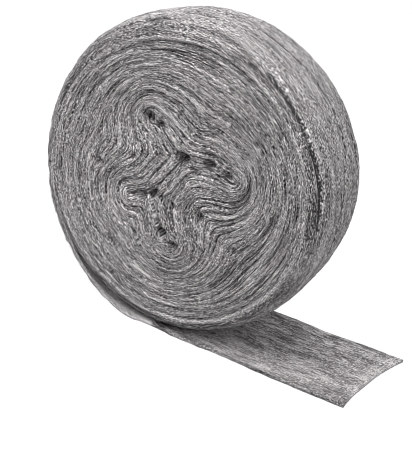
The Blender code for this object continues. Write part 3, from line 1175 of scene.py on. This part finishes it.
@dataclass(frozen=True)
class WoolFinish(Finish):
    """Felted steel fibre: streaks of grey along the ribbon, a fine grain, greys shifted by the attribute
    "shade", and painted light on the laid-out end.
    """

    metallic: float = 0.40
    roughness: float = 0.70
    laid_out_from: float = 0.0
    # Painted light: how much lighter the laid-out end is made than the wound turns.
    laid_out_painted_light: float = 0.048
    shade_share: float = -0.018
    streak_length: float = 0.0040
    streak_width: float = 0.00052
    grain_length: float = 0.0017
    grain_width: float = 0.00042
    patch_length: float = 0.0400
    patch_width: float = 0.0060
    coarse_share: float = 0.36
    fine_share: float = 0.48
    patch_share: float = 0.16
    gap_stop: float = 0.42
    dark_stop: float = 0.465
    middle_stop: float = 0.525
    bright_stop: float = 0.59
    # Where the painted light on the laid-out end starts to rise before laid_out_from, and where it is full
    # after it.
    painted_light_ramp_before: float = 0.05
    painted_light_ramp_after: float = 0.03
    bump: float = 0.5
    bump_depth: float = 0.0006

    def material(self) -> bpy.types.Material:
        """Builds the finish of the ribbon itself.

        Returns:
            The new material.
        """
        material, nodes, links, shader = self.started()
        run = nodes.new("ShaderNodeUVMap")
        run.uv_map = "ribbon"
        coarse = self.noise(nodes, links, run.outputs["UV"], self.streak_length, self.streak_width, 3.0)
        fine = self.noise(nodes, links, run.outputs["UV"], self.grain_length, self.grain_width, 1.0)
        patch = self.noise(nodes, links, run.outputs["UV"], self.patch_length, self.patch_width, 2.0)
        place = nodes.new("ShaderNodeSeparateXYZ")
        links.new(run.outputs["UV"], place.inputs[0])
        # Painted light on the laid-out end, rising from 0 to 1 across laid_out_from.
        laid_out = nodes.new("ShaderNodeMapRange")
        laid_out.inputs["From Min"].default_value = self.laid_out_from - self.painted_light_ramp_before
        laid_out.inputs["From Max"].default_value = self.laid_out_from + self.painted_light_ramp_after
        links.new(place.outputs["X"], laid_out.inputs["Value"])
        shade = nodes.new("ShaderNodeAttribute")
        shade.attribute_name = "shade"
        parts = (
            (shade.outputs["Fac"], self.shade_share),
            (coarse, self.coarse_share),
            (fine, self.fine_share),
            (patch, self.patch_share),
            (laid_out.outputs["Result"], self.laid_out_painted_light),
        )
        both = self.weighted(nodes, links, parts)
        stops = (
            (self.gap_stop, self.tones.gap),
            (self.dark_stop, self.tones.dark),
            (self.middle_stop, self.tones.middle),
            (self.bright_stop, self.tones.bright),
        )
        links.new(self.greys(nodes, both, stops), shader.inputs["Base Color"])
        bump = nodes.new("ShaderNodeBump")
        bump.inputs["Strength"].default_value = self.bump
        bump.inputs["Distance"].default_value = self.bump_depth
        links.new(both, bump.inputs["Height"])
        links.new(bump.outputs["Normal"], shader.inputs["Normal"])
        return material

    @staticmethod
    def weighted(nodes: bpy.types.Nodes, links: bpy.types.NodeLinks, parts: tuple) -> bpy.types.NodeSocket:
        """Adds up noises by their shares.

        Args:
            nodes: the material's nodes.
            links: its links.
            parts: each noise's value and its share.

        Returns:
            The sum.
        """
        total = None
        for value, share in parts:
            add = nodes.new("ShaderNodeMath")
            add.operation = "MULTIPLY_ADD"
            links.new(value, add.inputs[0])
            add.inputs[1].default_value = share
            add.inputs[2].default_value = 0.0
            if total is not None:
                links.new(total, add.inputs[2])
            total = add.outputs[0]
        return total

    @staticmethod
    def noise(
        nodes: bpy.types.Nodes, links: bpy.types.NodeLinks, source: bpy.types.NodeSocket,
        length: float, width: float, detail: float,
    ) -> bpy.types.NodeSocket:
        """Adds a noise whose marks have a length along the ribbon and a width across it.

        Args:
            nodes: the material's nodes.
            links: its links.
            source: the map in metres.
            length: length of a mark.
            width: width of a mark.
            detail: octaves of finer marks.

        Returns:
            The noise's value.
        """
        mapping = nodes.new("ShaderNodeMapping")
        mapping.inputs["Scale"].default_value = (1.0 / length, 1.0 / width, 1.0)
        links.new(source, mapping.inputs["Vector"])
        noise = nodes.new("ShaderNodeTexNoise")
        noise.inputs["Scale"].default_value = 1.0
        noise.inputs["Detail"].default_value = detail
        links.new(mapping.outputs["Vector"], noise.inputs["Vector"])
        return noise.outputs["Fac"]


@dataclass(frozen=True)
class FibreFinish(Finish):
    """Single bundles of fibre, each with its own grey."""

    middle_stop: float = 0.55

    def material(self) -> bpy.types.Material:
        """Builds the finish of the loose bundles.

        Returns:
            The new material.
        """
        material, nodes, links, shader = self.started()
        tone = nodes.new("ShaderNodeAttribute")
        tone.attribute_name = "tone"
        stops = ((0.0, self.tones.dark), (self.middle_stop, self.tones.middle), (1.0, self.tones.bright))
        links.new(self.greys(nodes, tone.outputs["Fac"], stops), shader.inputs["Base Color"])
        return material


@dataclass(frozen=True)
class Studio:
    """A pale floor, soft light from above and the camera."""

    focal_length: float = 56.2
    distance: float = 0.6095
    azimuth: float = 25.32
    elevation: float = 24.04
    roll: float = 8.11
    target: tuple = (0.0146, 0.0, 0.0858)
    floor_reach: float = 6.0
    floor_grey: float = 0.55
    floor_roughness: float = 0.90
    floor_glow: float = 1.10
    floor_glow_share: float = 0.88
    world_light: float = 0.60
    pixel_filter: float = 1.0

    def camera(self) -> None:
        """Sets the camera at the photograph's viewing angle."""
        turn, rise = math.radians(self.azimuth), math.radians(self.elevation)
        back = Vector((math.sin(turn) * math.cos(rise), -math.cos(turn) * math.cos(rise), math.sin(rise)))
        right = Vector((math.cos(turn), math.sin(turn), 0.0))
        up = back.cross(right)
        tilt = math.radians(self.roll)
        tilted_right = right * math.cos(tilt) + up * math.sin(tilt)
        tilted_up = up * math.cos(tilt) - right * math.sin(tilt)
        lens = bpy.data.cameras.new("camera")
        lens.lens = self.focal_length
        lens.sensor_width = 36.0
        lens.sensor_fit = "AUTO"
        camera = bpy.data.objects.new("camera", lens)
        place = Vector(self.target) + back * self.distance
        axes = Matrix((tilted_right, tilted_up, back)).transposed()
        camera.matrix_world = Matrix.Translation(place) @ axes.to_4x4()
        bpy.context.scene.collection.objects.link(camera)
        bpy.context.scene.camera = camera

    def seen(self, nodes: bpy.types.Nodes, links: bpy.types.NodeLinks) -> bpy.types.NodeSocket:
        """Tells the rays that show the background from those that light the roll.

        Args:
            nodes: the material's or the world's nodes.
            links: its links.

        Returns:
            An output that is 1 for camera, glossy and transmission rays.
        """
        rays = nodes.new("ShaderNodeLightPath")
        either = rays.outputs["Is Camera Ray"]
        for kind in ("Is Glossy Ray", "Is Transmission Ray"):
            both = nodes.new("ShaderNodeMath")
            both.operation = "MAXIMUM"
            links.new(either, both.inputs[0])
            links.new(rays.outputs[kind], both.inputs[1])
            either = both.outputs[0]
        return either

    def floor(self) -> None:
        """Lays the floor."""
        bpy.ops.object.select_all(action="DESELECT")
        bpy.ops.mesh.primitive_plane_add(size=2 * self.floor_reach, location=(0.0, 0.0, 0.0))
        floor = bpy.context.object
        floor.name = "floor"
        material = bpy.data.materials.new("pale_floor")
        material.use_nodes = True
        nodes, links = material.node_tree.nodes, material.node_tree.links
        shader = nodes["Principled BSDF"]
        shader.inputs["Base Color"].default_value = (self.floor_grey,) * 3 + (1.0,)
        shader.inputs["Roughness"].default_value = self.floor_roughness
        shader.inputs["Specular IOR Level"].default_value = 0.0
        glow = nodes.new("ShaderNodeEmission")
        glow.inputs["Strength"].default_value = self.floor_glow
        share = nodes.new("ShaderNodeMath")
        share.operation = "MULTIPLY"
        share.inputs[1].default_value = self.floor_glow_share
        links.new(self.seen(nodes, links), share.inputs[0])
        mix = nodes.new("ShaderNodeMixShader")
        links.new(share.outputs[0], mix.inputs["Fac"])
        links.new(shader.outputs[0], mix.inputs[1])
        links.new(glow.outputs[0], mix.inputs[2])
        links.new(mix.outputs[0], nodes["Material Output"].inputs["Surface"])
        floor.data.materials.append(material)

    def world(self) -> None:
        """Fills the surroundings: white to the camera, softer to the object."""
        world = bpy.data.worlds.new("studio")
        bpy.context.scene.world = world
        world.use_nodes = True
        nodes, links = world.node_tree.nodes, world.node_tree.links
        background = nodes["Background"]
        background.inputs["Color"].default_value = (1.0, 1.0, 1.0, 1.0)
        strength = nodes.new("ShaderNodeMapRange")
        strength.inputs["To Min"].default_value = self.world_light
        strength.inputs["To Max"].default_value = 1.0
        links.new(self.seen(nodes, links), strength.inputs["Value"])
        links.new(strength.outputs["Result"], background.inputs["Strength"])

    def lamp(self, name: str, place: tuple, size: float, watts: float) -> None:
        """Adds one soft lamp that looks at the roll.

        Args:
            name: the lamp's name.
            place: where it hangs.
            size: its width.
            watts: its power.
        """
        light = bpy.data.lights.new(name, "AREA")
        light.size = size
        light.energy = watts
        lamp = bpy.data.objects.new(name, light)
        lamp.location = place
        lamp.rotation_euler = (Vector(place) - Vector(self.target)).to_track_quat("Z", "Y").to_euler()
        bpy.context.scene.collection.objects.link(lamp)

    def build(self) -> None:
        """Sets up the whole studio."""
        self.camera()
        self.floor()
        self.world()
        self.lamp("top_softbox", (-0.14, -0.50, 1.22), 1.0, 19.5)
        self.lamp("front_fill", (-0.15, -1.2, 0.7), 1.0, 2.2)
        scene = bpy.context.scene
        scene.view_settings.view_transform = "Standard"
        scene.cycles.filter_width = self.pixel_filter


def dress(piece: bpy.types.Object, material: bpy.types.Material, stands_for_node: bool) -> None:
    """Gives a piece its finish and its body.

    Args:
        piece: the finished piece.
        material: its finish.
        stands_for_node: whether it is shown in place of the frame's ribbon.
    """
    piece.data.materials.append(material)
    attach(piece, BODY)
    if stands_for_node:
        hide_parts(NODE)
    triangles = sum(len(face.vertices) - 2 for face in piece.data.polygons)
    log.info("%s: %d triangles", piece.name, triangles)


def main() -> None:
    """Builds the roll, its loose fibres and the studio."""
    logging.basicConfig(level=logging.INFO, format="%(message)s")
    ribbon = WoolRibbon(Windings(RollSizes(), CoreSlit()))
    turns = WoundTurns(ribbon)
    last = LastTurn(ribbon, turns)
    laid_out_from = ribbon.windings.wound_length
    wool = WoolFinish("felted_steel_wool", laid_out_from=laid_out_from).material()
    rim_wool = WoolFinish(
        "combed_steel_wool",
        RIM_TONES,
        laid_out_from=laid_out_from,
        streak_length=0.0036,
        streak_width=0.00085,
        grain_length=0.0017,
        grain_width=0.00065,
    ).material()
    middle = 0.5 * ribbon.last_turn_starts
    dress(turns.strip("inner_turns", 0.0, middle), wool, True)
    dress(turns.strip("outer_turns", middle + TURNS_APART, ribbon.last_turn_starts), wool, True)
    dress(last.build("last_turn"), rim_wool, True)
    fibres = Fibres(ribbon, turns, last)
    fibre = FibreFinish("steel_fibre").material()
    for name, layer, count, seed in FIBRE_BATCHES:
        dress(fibres.build(name, layer, count, seed), fibre, False)
    Studio().build()


if __name__ == "__main__":
    main()
